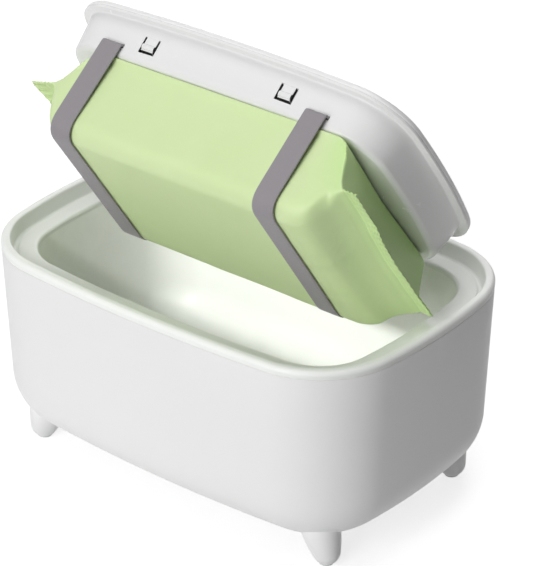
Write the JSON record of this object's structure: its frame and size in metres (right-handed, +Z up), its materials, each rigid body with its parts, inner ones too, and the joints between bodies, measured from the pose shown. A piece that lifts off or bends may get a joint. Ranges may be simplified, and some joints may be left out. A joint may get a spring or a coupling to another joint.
{
  "type": "baby wipe warmer",
  "caption": "Free-standing bowed white tub on splayed feet, with a back-hinged plug lid that straps a soft pack of wipes under a heated dispensing port with a flip cap.",
  "frame": {"origin": "middle of the warmer on the surface it stands on", "axes": "+Z up, +Y from the front to the hinge at the back, +X to the right seen from the front"},
  "size_m": [0.24, 0.1616, 0.2354],
  "materials": {
    "shell_plastic": "satin white",
    "rim_plastic": "satin white",
    "tub_plastic": "fine matte white",
    "foam": "closed-cell foam",
    "foot_plastic": "satin white",
    "clear_silicone": "frosted",
    "screw_steel": "plated",
    "pin_steel": "ground",
    "black_plastic": "moulded",
    "lead_jacket": "smooth jacket",
    "lid_plastic": "satin white",
    "tray_plastic": "satin white",
    "plate_aluminium": "brushed",
    "film": "amber film",
    "pad_fibre": "felted fibre",
    "fuse_ceramic": "glazed",
    "board": "solder mask",
    "smoked_window": "polished smoked",
    "button_plastic": "fine matte",
    "cap_plastic": "satin white",
    "strap_elastic": "grey woven elastic",
    "pack_film": "pale green satin film"
  },
  "bodies": {
    "base": {"outer_shell": "shell_plastic", "rim_frame": "rim_plastic", "inner_tub": "tub_plastic", "tub_foam": "foam", "foot_front_left": "foot_plastic", "foot_front_right": "foot_plastic", "foot_back_left": "foot_plastic", "foot_back_right": "foot_plastic", "foot_pads": "clear_silicone", "foot_screws": "screw_steel", "hinge_pin_left": "pin_steel", "hinge_pin_right": "pin_steel", "hinge_washers": "pin_steel", "power_inlet": "black_plastic", "base_lead": "lead_jacket"},
    "lid": {"lid_cover": "lid_plastic", "lid_tray": "tray_plastic", "lid_screws": "screw_steel", "heating_plate": "plate_aluminium", "plate_screws": "screw_steel", "heating_film": "film", "insulation_pad": "pad_fibre", "thermostat": "black_plastic", "thermal_fuse": "fuse_ceramic", "control_board": "board", "board_screws": "screw_steel", "display_module": "black_plastic", "display_window": "smoked_window", "port_bezel": "lid_plastic", "cap_pin": "pin_steel", "lid_lead": "lead_jacket", "strap_bars": "pin_steel", "strap_left": "strap_elastic", "strap_right": "strap_elastic", "wipes_pack": "pack_film"},
    "flip_cap": {"flip_cap": "cap_plastic", "cap_seal": "clear_silicone"},
    "cap_latch": {"cap_latch": "button_plastic"},
    "power_button": {"power_button": "button_plastic"},
    "mode_button": {"mode_button": "button_plastic"},
    "snap_tab_left": {"snap_tab_left": "tray_plastic"},
    "snap_tab_right": {"snap_tab_right": "tray_plastic"}
  },
  "joints": [
    {"name": "lid_hinge", "type": "hinge", "parent": "base", "child": "lid", "pos_m": [0, 0.077, 0.1242], "axis": [-1, 0, 0], "range_deg": [-55.65, 34.35], "deforming": ["wipes_pack", "strap_left", "strap_right"]},
    {"name": "flip_cap_hinge", "type": "hinge", "parent": "lid", "child": "flip_cap", "pos_m": [0, 0.03677, 0.16817], "axis": [-1, 0, 0], "range_deg": [0, 95]},
    {"name": "cap_latch_press", "type": "slide", "parent": "lid", "child": "cap_latch", "axis": [0, -0.8256, -0.5642], "range_m": [0, 0.0012], "stiffness_N_per_m": 60},
    {"name": "power_button_press", "type": "slide", "parent": "lid", "child": "power_button", "axis": [0, -0.8256, -0.5642], "range_m": [0, 0.001], "stiffness_N_per_m": 60},
    {"name": "mode_button_press", "type": "slide", "parent": "lid", "child": "mode_button", "axis": [0, -0.8256, -0.5642], "range_m": [0, 0.001], "stiffness_N_per_m": 60},
    {"name": "snap_tab_left_flex", "type": "hinge", "parent": "lid", "child": "snap_tab_left", "pos_m": [-0.042, -0.01623, 0.22428], "axis": [0.9987, -0.0283, 0.0414], "range_deg": [0, 5], "stiffness_Nm_per_rad": 0.02},
    {"name": "snap_tab_right_flex", "type": "hinge", "parent": "lid", "child": "snap_tab_right", "pos_m": [0.042, -0.01623, 0.22428], "axis": [0.9987, 0.0283, -0.0414], "range_deg": [0, 5], "stiffness_Nm_per_rad": 0.02}
  ]
}
